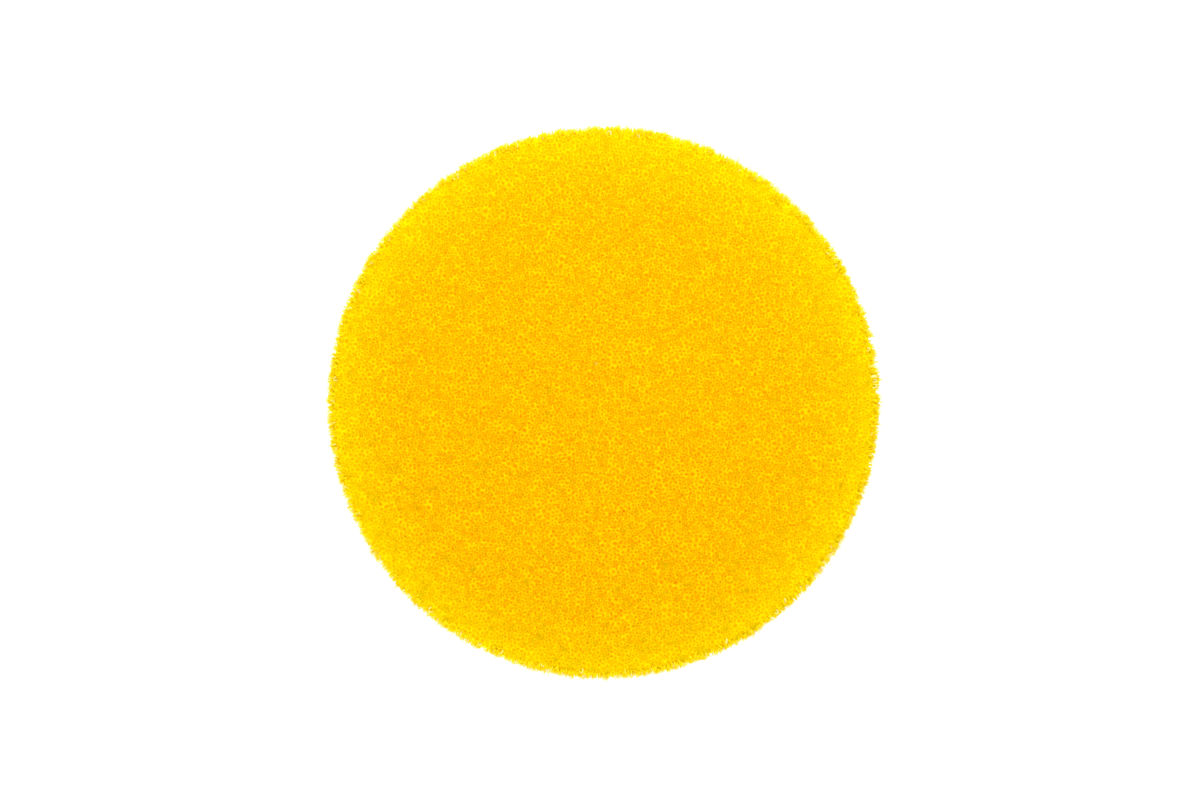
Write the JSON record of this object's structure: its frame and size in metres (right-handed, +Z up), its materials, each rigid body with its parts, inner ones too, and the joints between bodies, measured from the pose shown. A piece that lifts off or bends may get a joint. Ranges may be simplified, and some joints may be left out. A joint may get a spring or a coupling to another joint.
{
  "type": "foam sponge brush",
  "caption": "Round foam sponge brush: flat-faced foam cylinder on a turned wooden disc, with a ferruled turned handle that stands on its flat butt.",
  "frame": {"origin": "centre of the handle's flat butt face, which the brush stands on", "axes": "+Z up the handle's axis to the foam's painting face; +Y along the hanging hole and through the ferrule's pins; +X across them"},
  "size_m": [0.05, 0.05, 0.1173],
  "materials": {
    "foam": "open-cell polyurethane foam, bright yellow, cut cells",
    "adhesive": "dried contact adhesive",
    "disc_wood": "turned beech, clear satin lacquer",
    "handle_wood": "turned beech, clear satin lacquer",
    "ferrule_brass": "drawn brass, lightly tarnished",
    "screw_steel": "zinc-plated steel"
  },
  "bodies": {
    "brush": {"handle": "handle_wood", "ferrule": "ferrule_brass", "ferrule_pins": "ferrule_brass", "fixing_screw": "screw_steel", "backing_disc": "disc_wood", "foam_adhesive": "adhesive"},
    "foam": {"foam_head": "foam"}
  },
  "joints": [
    {"name": "foam_press", "type": "slide", "parent": "brush", "child": "foam", "axis": [0, 0, -1], "range_m": [0, 0.01], "stiffness_N_per_m": 700, "deforming": ["foam_head"]}
  ]
}
